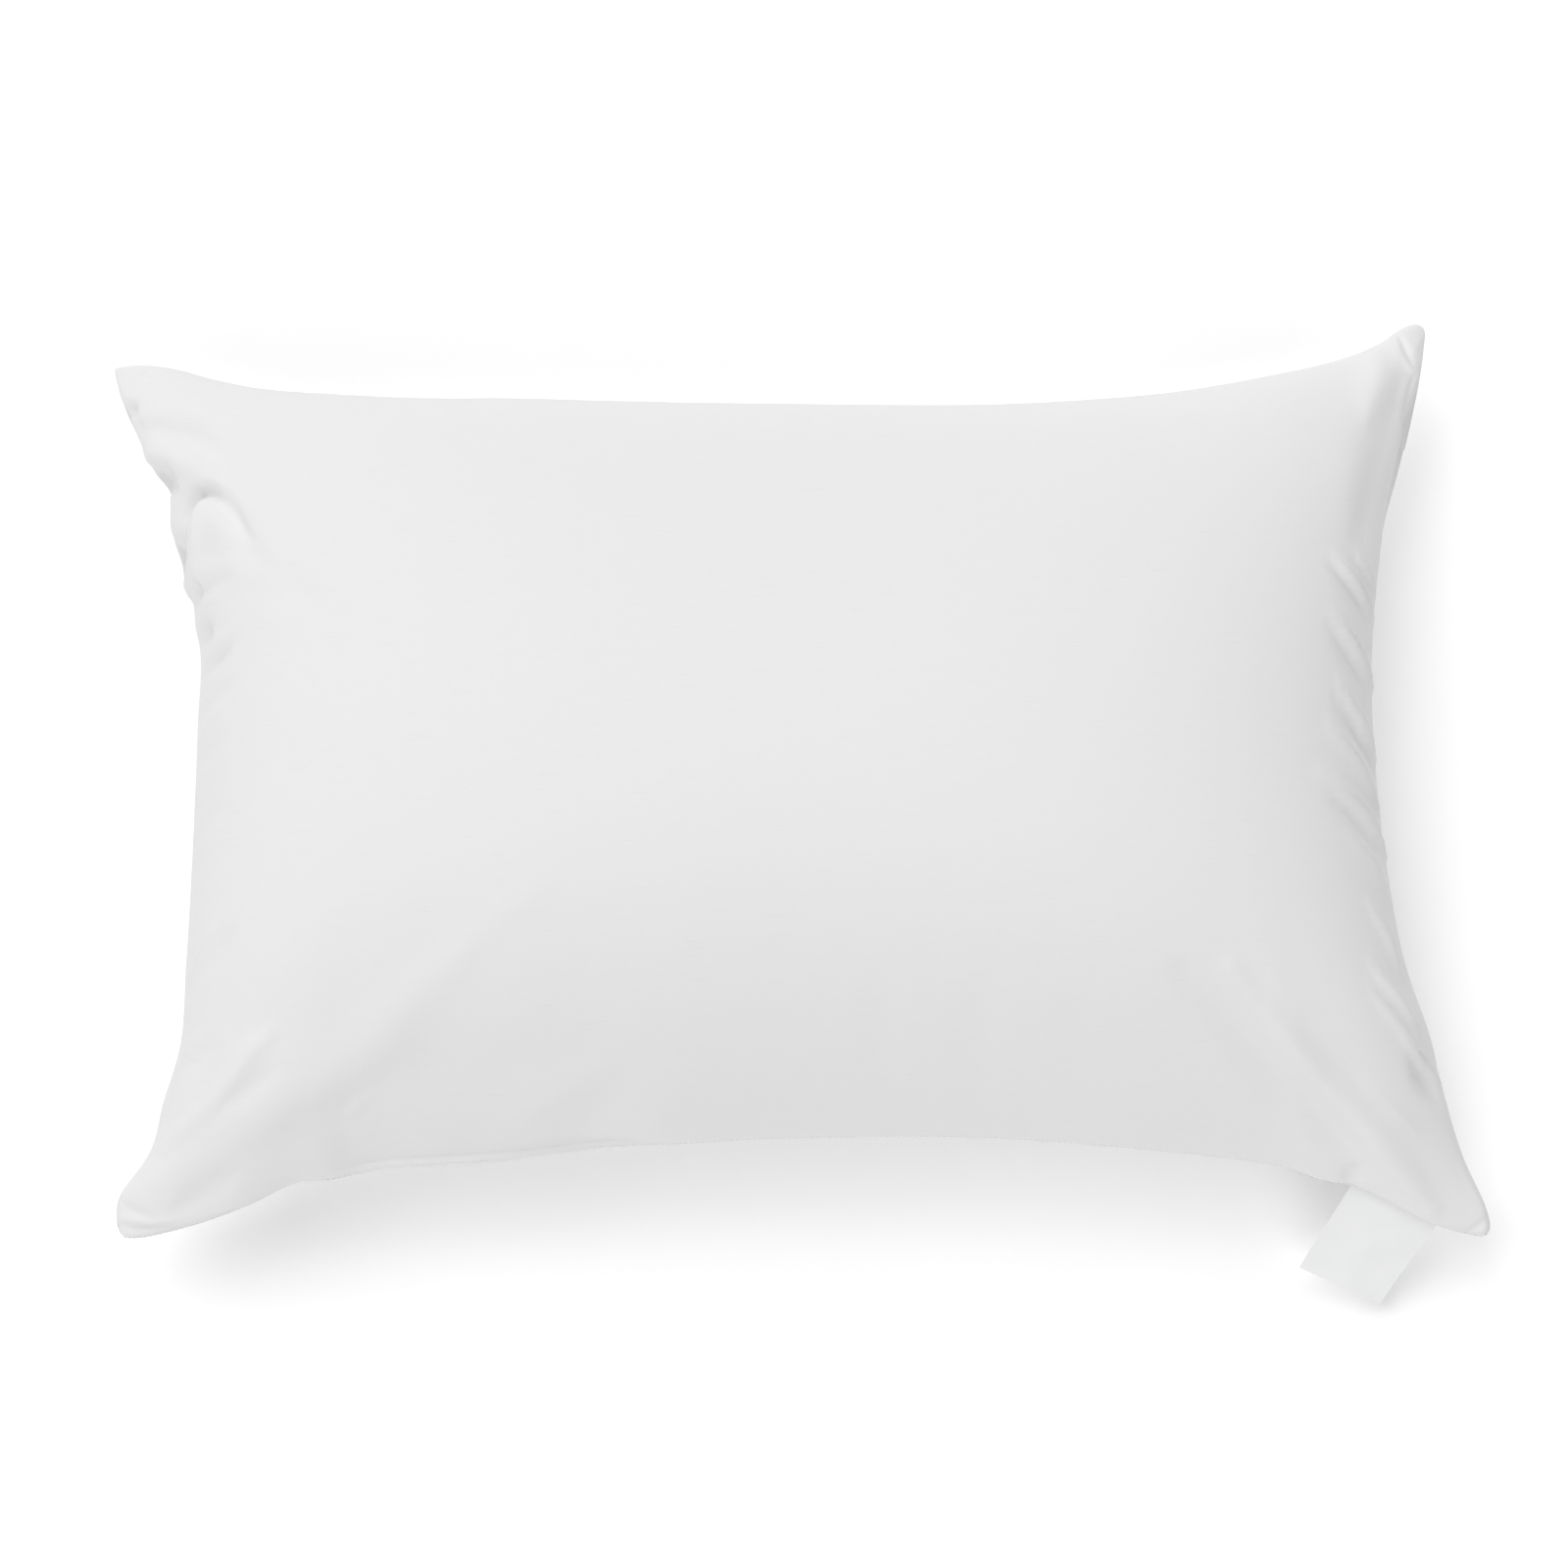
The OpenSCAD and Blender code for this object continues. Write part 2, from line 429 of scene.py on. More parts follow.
# share along the edge from its left or front end, and how far the seam pulls in there, in mm
FRONT_EDGE = EdgeProfile(
    (
        (0.0, 0.0), (0.02, 0.0), (0.05, 4.3), (0.1, 16.8), (0.138, 29.1), (0.171, 30.7), (0.204, 35.1),
        (0.235, 36.1), (0.266, 37.3), (0.37, 46.0), (0.53, 52.1), (0.63, 51.3), (0.73, 45.7), (0.835, 37.4),
        (0.847, 35.8), (0.863, 30.4), (0.894, 25.2), (0.955, 4.6), (0.98, 0.0), (1.0, 0.0),
    )
)
BACK_EDGE = EdgeProfile(
    (
        (0.0, 0.0), (0.025, 0.4), (0.05, 4.6), (0.082, 13.1), (0.123, 21.6), (0.183, 26.7), (0.28, 33.4),
        (0.5, 43.9), (0.72, 47.7), (0.804, 43.1), (0.876, 33.5), (0.932, 22.9), (0.959, 14.9), (0.98, 4.5),
        (1.0, 0.0),
    )
)
LEFT_EDGE = EdgeProfile(
    (
        (0.0, 0.0), (0.045, 2.8), (0.092, 21.3), (0.15, 30.8), (0.2, 39.8), (0.3, 45.3), (0.45, 50.1),
        (0.57, 52.6), (0.654, 53.8), (0.688, 50.5), (0.703, 50.6), (0.718, 46.0), (0.734, 43.4),
        (0.748, 43.2), (0.79, 36.9), (0.832, 35.9), (0.845, 34.6), (0.856, 29.5), (0.906, 17.0),
        (0.963, 5.0), (1.0, 0.0),
    )
)
RIGHT_EDGE = EdgeProfile(
    (
        (0.0, 0.0), (0.024, 3.0), (0.081, 16.9), (0.15, 27.2), (0.21, 33.8), (0.272, 43.5), (0.377, 51.0),
        (0.5, 53.6), (0.6, 51.6), (0.674, 46.6), (0.757, 37.4), (0.82, 26.2), (0.87, 17.8), (0.937, 7.5),
        (1.0, 0.0),
    )
)


@dataclass
class FilledForm:
    """The smooth form of the filled bag, in u (left to right) and v (front to back) from -1 to 1."""

    corners: dict[str, np.ndarray] = field(init=False)
    seam_z: float = field(init=False)
    tip_z: float = field(init=False)
    crown: float = field(init=False)
    # how far the under panel would pass the floor if it weren't pressed flat
    press: float = 0.006
    # a higher power gives a flatter middle and a fuller shoulder: across, then front to back
    full_top: tuple[float, float] = (2.9, 2.1)
    full_under: tuple[float, float] = (2.8, 2.8)
    # both powers of the crown's rise from the seam: 0.5 stands up steeply, 1 is a straight slope
    edge_rise: float = 0.5
    front_lean: float = 0.22
    seam_droop: float = 3.0
    corner_round: float = 0.010
    sharp_corner: float = 0.004
    ear_reach: float = 0.070
    ear_thin: float = 0.45

    def __post_init__(self) -> None:
        """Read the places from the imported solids."""
        low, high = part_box("shell_top_panel")
        self.seam_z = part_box("closing_needle_thread")[1].z - MM
        self.tip_z = low.z
        self.crown = high.z - self.seam_z
        # the cloth's corners lie a little off the plain solid's, each in its own way
        self.corners = {
            "front_left": np.array([low.x + 0.0130, low.y - 0.0037]),
            "front_right": np.array([high.x + 0.0050, low.y - 0.0025]),
            "back_left": np.array([low.x, high.y - 0.0200]),
            "back_right": np.array([high.x - 0.0195, high.y + 0.0065]),
        }

    def plan(self, u: np.ndarray, v: np.ndarray) -> np.ndarray:
        """Places of the seam surface from above, with the turned corners rounded.

        Args:
            u: shares across.
            v: shares from front to back.

        Returns:
            The places in metres.
        """
        c = self.corners
        turn = np.where(v < 0, self.corner_round, np.where(u < 0, self.sharp_corner, self.corner_round))
        p = np.clip(1 - (1 - np.abs(u)) * HALF_CUT[0] / turn, 0, 1)
        q = np.clip(1 - (1 - np.abs(v)) * HALF_CUT[1] / turn, 0, 1)
        u = u - np.sign(u) * (p - p * np.sqrt(1 - q * q / 2)) * turn / HALF_CUT[0]
        v = v - np.sign(v) * (q - q * np.sqrt(1 - p * p / 2)) * turn / HALF_CUT[1]
        a, b = (u + 1) / 2, (v + 1) / 2
        left = b[..., None] * (c["back_left"] - c["front_left"]) + c["front_left"]
        right = b[..., None] * (c["back_right"] - c["front_right"]) + c["front_right"]
        flat = left + a[..., None] * (right - left)
        shift_x = LEFT_EDGE.inset(b) * (1 - a) - RIGHT_EDGE.inset(b) * a
        shift_y = FRONT_EDGE.inset(a) * (1 - b) - BACK_EDGE.inset(a) * b
        return flat + np.stack([shift_x, shift_y], axis=-1)

    def seam(self, u: np.ndarray, v: np.ndarray) -> np.ndarray:
        """The seam surface's height, which droops to the corner tips."""
        return self.seam_z - (self.seam_z - self.tip_z) * np.abs(u * v) ** self.seam_droop

    def surface(self, u: np.ndarray, v: np.ndarray, side: Side) -> np.ndarray:
        """Places on the top or under face.

        Args:
            u: shares across.
            v: shares from front to back.
            side: which face.

        Returns:
            The places in metres.
        """
        across, along = self.full_top if side is Side.TOP else self.full_under
        # the top panel meets the closing seam at a gentler slope than the other edges
        lean = self.front_lean * smooth(0.2, 0.9, -v) if side is Side.TOP else 0.0
        swell_u = np.clip(1 - np.abs(u) ** across, 0, None) ** self.edge_rise
        swell_v = np.clip(1 - np.abs(v) ** along, 0, None) ** (self.edge_rise + lean)
        swell = swell_u * swell_v
        plan = self.plan(u, v)
        for corner in self.corners.values():
            away = np.linalg.norm(plan - corner, axis=-1)
            swell = swell * (1 - self.ear_thin * np.exp(-((away / self.ear_reach) ** 2)))
        rise = self.crown if side is Side.TOP else -(self.seam_z + self.press)
        z = np.maximum(self.seam(u, v) + rise * swell, 0.0)
        return np.concatenate([plan, z[..., None]], axis=-1)


def open_share(u: np.ndarray) -> np.ndarray:
    """How far the closing strip lies open at each share across, from 0 to 1."""
    return smooth(-0.69, -0.62, u) * (1 - smooth(-0.34, -0.16, u))


def strip_point(
    edge: np.ndarray, u: np.ndarray, inward: np.ndarray | float, raised: np.ndarray | float
) -> np.ndarray:
    """Places on the pressed closing strip, which lies open at the left and tucks under further right.

    Args:
        edge: places on the front edge.
        u: shares across.
        inward: distances in from the edge, across the strip.
        raised: distances off the strip's middle.

    Returns:
        The places.
    """
    # the strip's angle up from flat, in radians: tucked, less where open, less at the label
    sewn_label = smooth(0.72, 0.80, u) * (1 - smooth(0.95, 0.98, u))
    angle = 1.42 - 1.25 * open_share(u) - 0.35 * sewn_label
    # with a faint ripple of two wavelengths
    angle = angle + 0.08 * np.sin(9 * u + 1.0) + 0.05 * np.sin(23 * u)
    point = edge.copy()
    point[:, 1] += inward * np.cos(angle) - raised * np.sin(angle)
    point[:, 2] += inward * np.sin(angle) + raised * np.cos(angle)
    return point


def even_steps(t: np.ndarray, half: float, height: float) -> np.ndarray:
    """Plan shares that lie evenly along the arc of a half ellipse.

    Args:
        t: even shares from -1 to 1.
        half: half the ellipse's width.
        height: its height.

    Returns:
        The shares of the half width, from -1 to 1.
    """
    angle = np.linspace(-math.pi / 2, math.pi / 2, 721)
    x, z = half * np.sin(angle), height * np.cos(angle)
    arc = np.concatenate([[0], np.cumsum(np.hypot(np.diff(x), np.diff(z)))])
    return np.interp((t + 1) / 2, arc / arc[-1], x / half)


@dataclass(frozen=True)
class Fold:
    """One ridge (positive height) or valley (negative) in the cloth, in mm as seen from above."""

    path: tuple[tuple[float, float], ...]
    height: float
    width: float

    def push(self, plan: np.ndarray) -> np.ndarray:
        """How far the fold moves each point out of the surface.

        Args:
            plan: places from above in mm.

        Returns:
            The distances in metres.
        """
        line = curve_through(np.array(self.path, float))
        gap = plan[:, None, :] - line[None, :, :]
        away = np.linalg.norm(gap, axis=2)
        nearest = away.argmin(axis=1)
        away = away[np.arange(len(plan)), nearest]
        run = nearest / (len(line) - 1)
        # the fold is widest halfway and runs out at both ends
        width = self.width * (0.55 + 0.45 * np.sin(math.pi * run))
        fade = np.sin(math.pi * np.clip(0.08 + 0.84 * run, 0, 1)) ** 0.8
        return MM * self.height * fade * np.exp(-((away / width) ** 2))


def curve_through(knots: np.ndarray, steps: int = 12) -> np.ndarray:
    """A smooth line through a few knots.

    Args:
        knots: the knots, in order.
        steps: samples between two knots.

    Returns:
        The samples.
    """
    ends = np.vstack([2 * knots[0] - knots[1], knots, 2 * knots[-1] - knots[-2]])
    t = np.linspace(0, 1, steps, endpoint=False)[:, None]
    parts = []
    for p0, p1, p2, p3 in zip(ends, ends[1:], ends[2:], ends[3:]):
        square = 2 * p0 - 5 * p1 + 4 * p2 - p3
        cube = 3 * p1 - p0 - 3 * p2 + p3
        parts.append(0.5 * (2 * p1 + (p2 - p0) * t + square * t**2 + cube * t**3))
    return np.vstack([*parts, knots[-1:]])


V, R = -1.0, 1.0  # a valley goes in, a ridge comes out
FOLDS: tuple[Fold, ...] = (
    # back left ear: hem line, dents where the seam gathers, a broad valley and the ridge below it
    Fold(((-358, 206), (-353, 214), (-346, 220)), 1.1 * V, 2.0),
    Fold(((-358, 200), (-352, 193)), 3.8 * V, 4.2),
    Fold(((-351, 190), (-348, 182)), 1.4 * V, 2.6),
    Fold(((-344, 184), (-328, 179), (-312, 171), (-296, 158)), 4.2 * V, 9.0),
    Fold(((-342, 170), (-322, 161), (-302, 146), (-281, 125), (-260, 98)), 3.4 * R, 11.0),
    Fold(((-341, 163), (-333, 155), (-325, 147)), 6.5 * V, 4.6),
    # the hooked fold on the left and the tongue inside it
    Fold(((-322, 100), (-322, 116), (-319, 130), (-312, 140)), 8.0 * V, 4.9),
    Fold(((-318, 132), (-314, 139), (-307, 142), (-299, 138)), 4.4 * V, 4.6),
    Fold(((-309, 142), (-299, 138), (-289, 127), (-278, 111)), 4.6 * V, 5.2),
    Fold(((-308, 134), (-310, 119), (-312, 102)), 3.0 * R, 4.4),
    Fold(((-306, 130), (-297, 121), (-287, 102)), 2.0 * R, 8.0),
    # short gathers down the left seam
    Fold(((-314, 95), (-311, 88), (-310, 82)), 4.6 * V, 3.8),
    Fold(((-309, 80), (-300, 83), (-290, 87)), 1.8 * R, 4.2),
    Fold(((-306, 87), (-297, 90), (-287, 92)), 1.8 * V, 4.0),
    Fold(((-306, 70), (-302, 61)), 4.2 * V, 4.4),
    Fold(((-304, 52), (-295, 58), (-287, 62)), 1.6 * R, 3.8),
    Fold(((-303, 44), (-295, 51), (-287, 57)), 2.6 * V, 4.0),
    Fold(((-305, 22), (-294, 31), (-284, 36)), 1.7 * V, 4.5),
    Fold(((-306, -6), (-295, 3), (-284, 8)), 0.9 * V, 4.5),
    Fold(((-307, -42), (-296, -34), (-286, -30)), 0.8 * V, 4.5),
    # long faint diagonal below the hooked fold
    Fold(((-279, 141), (-253, 107), (-226, 74)), 1.3 * R, 12.0),
    Fold(((-289, 132), (-262, 97), (-241, 72)), 1.2 * V, 13.0),
    # notch low on the left seam
    Fold(((-307, -112), (-299, -99), (-290, -88)), 1.5 * R, 3.2),
    Fold(((-303, -114), (-292, -102), (-280, -91)), 2.2 * V, 6.0),
    Fold(((-315, -158), (-307, -151), (-297, -144)), 1.3 * R, 3.6),
    Fold(((-311, -163), (-302, -156), (-290, -150)), 1.5 * V, 5.0),
    # front left ear: two diagonal ridges with valleys, running up from the tip
    Fold(((-325, -203), (-299, -181), (-276, -158), (-262, -145)), 3.0 * R, 6.5),
    Fold(((-323, -190), (-302, -172), (-283, -158)), 1.8 * V, 8.5),
    Fold(((-291, -184), (-276, -174), (-260, -164)), 1.5 * V, 5.0),
    Fold(((-326, -215), (-300, -198), (-259, -181), (-220, -159), (-186, -130), (-160, -108)), 2.9 * R, 16.0),
    Fold(((-298, -217), (-252, -196), (-221, -181), (-200, -166)), 1.2 * V, 9.0),
    Fold(((-228, -189), (-211, -175)), 1.0 * R, 3.0),
    Fold(((-196, -170), (-164, -164), (-126, -154)), 2.2 * V, 24.0),
    Fold(((-148, -197), (-120, -182), (-92, -162)), 2.2 * R, 13.0),
    Fold(((-120, -192), (-88, -182)), 0.7 * V, 10.0),
    Fold(((-320, -235), (-286, -217)), 2.4 * V, 8.0),
    Fold(((-354, -242), (-338, -245), (-318, -244)), 1.8 * V, 2.2),
    Fold(((-353, -238), (-338, -241), (-318, -240)), 1.2 * R, 2.0),
    Fold(((-350, -231), (-341, -236), (-331, -240)), 1.2 * V, 2.2),
    # steep fine puckers along the right seam
    Fold(((286, 103), (298, 92), (311, 76)), 3.4 * R, 3.1),
    Fold(((283, 97), (296, 85), (308, 71)), 2.0 * V, 3.0),
    Fold(((300, 107), (313, 90)), 2.4 * R, 2.9),
    Fold(((284, 72), (299, 56), (311, 38)), 3.4 * R, 3.2),
    Fold(((281, 63), (295, 48), (308, 31)), 2.2 * V, 3.2),
    Fold(((286, 36), (300, 19), (311, 1)), 3.4 * R, 3.2),
    Fold(((283, 27), (296, 12), (308, -5)), 2.0 * V, 3.2),
    Fold(((280, 12), (297, -4), (312, -28)), 3.4 * R, 3.3),
    Fold(((297, 15), (310, -4)), 1.8 * R, 2.7),
    Fold(((274, -14), (289, -21), (304, -33), (316, -52)), 3.4 * R, 3.3),
    Fold(((278, -25), (293, -34), (307, -49)), 2.2 * V, 3.4),
    Fold(((290, -44), (304, -55), (315, -72)), 2.0 * R, 2.9),
    Fold(((301, -78), (311, -92), (320, -113)), 2.4 * R, 3.1),
    Fold(((301, -110), (316, -125), (330, -143)), 3.2 * R, 3.3),
    Fold(((302, -125), (318, -142), (334, -160)), 2.2 * R, 3.1),
    Fold(((326, -158), (335, -167), (342, -177)), 4.2 * V, 7.0),
    Fold(((320, -148), (335, -160), (345, -170)), 2.0 * R, 3.1),
    # front right ear: broad ridge to the tip, valleys beside it, dent over the label
    Fold(((226, -115), (274, -166), (298, -190), (322, -213), (341, -233)), 5.0 * R, 9.0),
    Fold(((200, -117), (254, -168), (276, -185), (294, -201), (303, -211)), 4.2 * V, 10.0),
    Fold(((267, -147), (311, -187)), 0.7 * V, 10.0),
    Fold(((297, -168), (333, -198)), 1.2 * R, 4.0),
    Fold(((294, -213), (303, -219)), 2.6 * V, 5.0),
    Fold(((360, -246), (367, -243), (373, -238)), 1.0 * V, 2.0),
    # back right ear: thick rolled ridge that drops steeply to the seam, hem line at the tip
    Fold(((323, 228), (318, 206), (310, 182)), 2.8 * R, 9.0),
    Fold(((338, 216), (329, 184), (318, 152), (304, 116)), 5.2 * V, 14.0),
    Fold(((336, 240), (339, 231), (342, 221)), 1.9 * V, 2.4),
    Fold(((337, 222), (346, 214)), 1.7 * R, 2.2),
    Fold(((342, 214), (334, 181)), 1.6 * V, 2.8),
    # faint rises in the middle of the panel and along the closing seam
    Fold(((-163, -106), (-117, -72)), 0.8 * R, 9.0),
    Fold(((-262, 208), (-205, 198), (-150, 190)), 1.8 * V, 11.0),
    Fold(((49, -120), (52, -170)), 0.8 * V, 9.0),
    Fold(((98, -124), (101, -172)), 0.8 * V, 10.0),
    Fold(((147, -130), (152, -172)), 0.7 * V, 10.0),
)

FOLD_REACH = 3.2  # a fold is felt as far as this many of its widths


@dataclass
class ClothBag:
    """The two cut panels, sewn all round and swollen over the filling."""

    form: FilledForm
    cells: tuple[int, int] = (120, 98)
    rim_dense: float = 0.55
    # how much narrower than its cut each swollen panel stands, on each side
    drawn_in: float = 0.04
    # how far each flat panel lies off the seam's plane before it swells
    flat_gap: float = 0.0004
    # closer cloth at the right seam's puckers and the left seam's hooked fold: place, spread, weight
    more_columns: tuple[float, float, float] = (0.94, 0.09, 1.3)
    more_rows: tuple[float, float, float] = (0.56, 0.17, 0.9)
    strip_rows: tuple[float, ...] = (0.0018, 0.0036, 0.0054)
    strip_half: float = 0.0008
    # the strip's least width at the corner tips and how near them it narrows, as shares
    strip_tip: tuple[float, float] = (0.15, 0.012)
    # the panel takes up the strip's shift over this length, and over more where the strip is open
    take_up: tuple[float, float] = (0.02, 0.03)
    # how much lower, and how far in, the panel lies behind the open strip
    ease_back: tuple[float, float] = (0.72, 0.035)
    pressure: float = 4.0
    frames: int = 24
    most_moved: float = 0.012
    piece: Object = field(init=False)

    def shares(self) -> tuple[np.ndarray, np.ndarray]:
        """Cloth shares across and along one panel, closer together at the edges."""
        lines = []
        fine = np.linspace(-1, 1, 2001)
        for count, (place, spread, weight) in zip(self.cells, (self.more_columns, self.more_rows)):
            gap = 1 - self.rim_dense + self.rim_dense * math.pi / 2 * np.cos(fine * math.pi / 2)
            dense = 1 / gap + weight * np.exp(-(((fine - place) / spread) ** 2))
            tally = np.concatenate([[0], np.cumsum((dense[1:] + dense[:-1]) / 2)])
            lines.append(np.interp(np.linspace(0, tally[-1], count + 1), tally, fine))
            lines[-1][[0, -1]] = (-1.0, 1.0)
        # the front edge starts with the narrow rows of the pressed strip
        v = lines[1]
        rows = -1 + np.array(self.strip_rows) / HALF_CUT[1]
        rest = v[v > rows[-1] + 0.004]
        lines[1] = np.concatenate([[-1.0], rows, rest])
        return np.meshgrid(lines[0], lines[1], indexing="ij")

    def lay_out(self) -> None:
        """Make the closed bag mesh at the filled form, with its flat cut as UVs and rest shape."""
        u, v = self.shares()
        rim = (np.abs(u) == 1) | (np.abs(v) == 1)
        top_id = np.arange(u.size).reshape(u.shape)
        under_id = top_id.copy()
        under_id[~rim] = u.size + np.arange((~rim).sum())
        places, flat = [], []
        half_x, half_y = HALF_CUT
        for side in (Side.TOP, Side.UNDER):
            height = self.form.crown if side is Side.TOP else self.form.seam_z
            across = even_steps(u, half_x - self.drawn_in, height)
            along = even_steps(v, half_y - self.drawn_in, height)
            fade_u = np.sqrt(np.clip(1 - v**2, 0, None))
            fade_v = np.sqrt(np.clip(1 - u**2, 0, None))
            us, vs = u + (across - u) * fade_u, v + (along - v) * fade_v
            shape = self.form.surface(us, vs, side)
            shape = self.press_strip(shape, u, v, side)
            level = np.full(u.shape, side.value * self.flat_gap)
            lay = np.stack([u * half_x, v * half_y, level], -1)
            keep = np.ones(u.shape, bool) if side is Side.TOP else ~rim
            places.append(shape[keep])
            flat.append(lay[keep])
        places, flat = np.concatenate(places), np.concatenate(flat)
        flat[rim.ravel().nonzero()[0], 2] = 0.0
        faces = []
        for ids, order in ((top_id, 1), (under_id, -1)):
            quads = np.stack([ids[:-1, :-1], ids[1:, :-1], ids[1:, 1:], ids[:-1, 1:]], -1)
            faces.append(quads.reshape(-1, 4)[:, ::order])
        self.piece = new_object("cloth_bag", places, np.concatenate(faces))
        layer = self.piece.data.uv_layers.new(name="cut")
        index = np.empty(len(self.piece.data.loops), int)
        self.piece.data.loops.foreach_get("vertex_index", index)
        layer.data.foreach_set("uv", flat[index, :2].astype(np.float32).ravel())
        held = set(top_id[rim].tolist())
        held |= set(top_id[:, : len(self.strip_rows) + 1].ravel().tolist())
        held |= set(under_id[:, : len(self.strip_rows) + 1].ravel().tolist())
        group = self.piece.vertex_groups.new(name="seam")
        group.add(sorted(held), 1.0, "REPLACE")
        self.piece.shape_key_add(name="filled")
        rest = self.piece.shape_key_add(name="cut_flat")
        rest.data.foreach_set("co", flat.astype(np.float32).ravel())

    def press_strip(self, shape: np.ndarray, u: np.ndarray, v: np.ndarray, side: Side) -> np.ndarray:
        """Flatten the narrow front strip where both panels are folded in and stitched together.

        Args:
            shape: the panel's places.
            u: cloth shares across.
            v: cloth shares along.
            side: which panel it is.

        Returns:
            The places with the strip pressed and the panel rising from its inner line.
        """
        rows = len(self.strip_rows) + 1
        wide = np.array([0.0, *self.strip_rows])
        edge = shape[:, 0, :].copy()
        least, near_tip = self.strip_tip
        ends = np.clip((1 - np.abs(u[:, 0])) / near_tip, least, 1)
        pressed = shape.copy()
        for row in range(rows):
            half = self.strip_half * ends * min(row, 1)
            pressed[:, row, :] = strip_point(edge, u[:, 0], wide[row] * ends, side.value * half)
        base = pressed[:, rows - 1, :] - shape[:, rows - 1, :]
        away = (v[0, rows:] - v[0, rows - 1])[None, :] * HALF_CUT[1]
        lies_open = open_share(u[:, 0])[:, None] * (side is Side.TOP)
        fade = np.exp(-away / (self.take_up[0] + self.take_up[1] * lies_open))
        pressed[:, rows:, :] += base[:, None, :] * fade[..., None]
        # behind the open strip the panel rises gently instead of standing up like a wall
        seam = self.form.seam(u, v)[:, rows:]
        share, reach = self.ease_back
        pressed[:, rows:, 2] -= (pressed[:, rows:, 2] - seam) * share * lies_open * np.exp(-away / reach)
        pressed[..., 2] = np.maximum(pressed[..., 2], 0.0)
        return pressed

    def swell(self) -> None:
        """Let the cut cloth settle over the filled form by simulation, then keep the result."""
        start = get_points(self.piece)
        cloth = self.piece.modifiers.new("settle", "CLOTH")
        # the panels stretch and bend easily, have no weight, and are pushed out by the filling
        sets = cloth.settings
        sets.quality = 6
        sets.use_pressure = True
        sets.uniform_pressure_force = self.pressure
        sets.bending_stiffness = 0.05
        sets.compression_stiffness = 5.0
        sets.effector_weights.gravity = 0.0
        sets.vertex_group_mass = "seam"
        sets.rest_shape_key = self.piece.data.shape_keys.key_blocks["cut_flat"]
        cloth.collision_settings.use_collision = False
        cloth.point_cache.frame_start = 1
        cloth.point_cache.frame_end = self.frames
        scene = bpy.context.scene
        for number in range(1, self.frames + 1):
            scene.frame_set(number)
        bake_modifiers(self.piece)
        scene.frame_set(1)
        moved = get_points(self.piece) - start
        size = np.linalg.norm(moved, axis=1, keepdims=True)
        LOG.info("cloth moved %.1f mm on average, %.1f mm at most", size.mean() / MM, size.max() / MM)
        # the cap eases in, so that no step shows where it starts
        moved *= np.tanh(size / self.most_moved) * self.most_moved / np.maximum(size, TINY)
        settled = start + moved
        settled[:, 2] = np.maximum(settled[:, 2], 0.0)
        set_points(self.piece, settled)

    def fold(self) -> None:
        """Lay the listed creases, ridges and puckers into the cloth."""
        points = get_points(self.piece)
        normals = np.empty(len(points) * 3)
        self.piece.data.vertex_normals.foreach_get("vector", normals)
        normals = normals.reshape(-1, 3)
        for fold in FOLDS:
            knots = np.array(fold.path)
            reach = FOLD_REACH * fold.width
            plan = points[:, :2] / MM
            near = np.all((plan > knots.min(0) - reach) & (plan < knots.max(0) + reach), axis=1)
            # the folds lie in the top panel, down to its seam
            near &= normals[:, 2] > -0.05
            where = near.nonzero()[0]
            if len(where):
                points[where] += normals[where] * fold.push(plan[where])[:, None]
        points[:, 2] = np.maximum(points[:, 2], 0.0)
        set_points(self.piece, points)

    def build(self) -> None:
        """Make the bag, settle it, refine its mesh and lay its folds."""
        self.lay_out()
        self.swell()
        self.piece.vertex_groups.clear()
        finer = self.piece.modifiers.new("finer", "SUBSURF")
        finer.levels = finer.render_levels = 1
        bake_modifiers(self.piece)
        self.fold()

    def dress(self, cloth: Material) -> None:
        self.piece.data.materials.clear()
        self.piece.data.materials.append(cloth)
        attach(self.piece, "pillow")
        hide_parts("shell_top_panel", "shell_bottom_panel", "fibre_filling")


# ---------------------------------------------------------------- threads


class Seam(Enum):
    """One turned seam of the bag."""

    BACK = "back"
    LEFT = "left"
    RIGHT = "right"


Values = dict[str, float | int]


def start_tree(name: str, inputs: Values) -> tuple[NodeTree, Node, Values]:
    """Start a geometry nodes tree with named inputs.

    Args:
        name: the tree's name.
        inputs: each input's name and its value.

    Returns:
        The tree, its input node, and the values by their sockets' identifiers.
    """
    tree = bpy.data.node_groups.new(name, "GeometryNodeTree")
    tree.interface.new_socket("Geometry", in_out="INPUT", socket_type="NodeSocketGeometry")
    values = {}
    for label, value in inputs.items():
        kind = "NodeSocketInt" if isinstance(value, int) else "NodeSocketFloat"
        socket = tree.interface.new_socket(label, in_out="INPUT", socket_type=kind)
        socket.default_value = value
        values[socket.identifier] = value
    tree.interface.new_socket("Geometry", in_out="OUTPUT", socket_type="NodeSocketGeometry")
    return tree, add(tree, "NodeGroupInput"), values


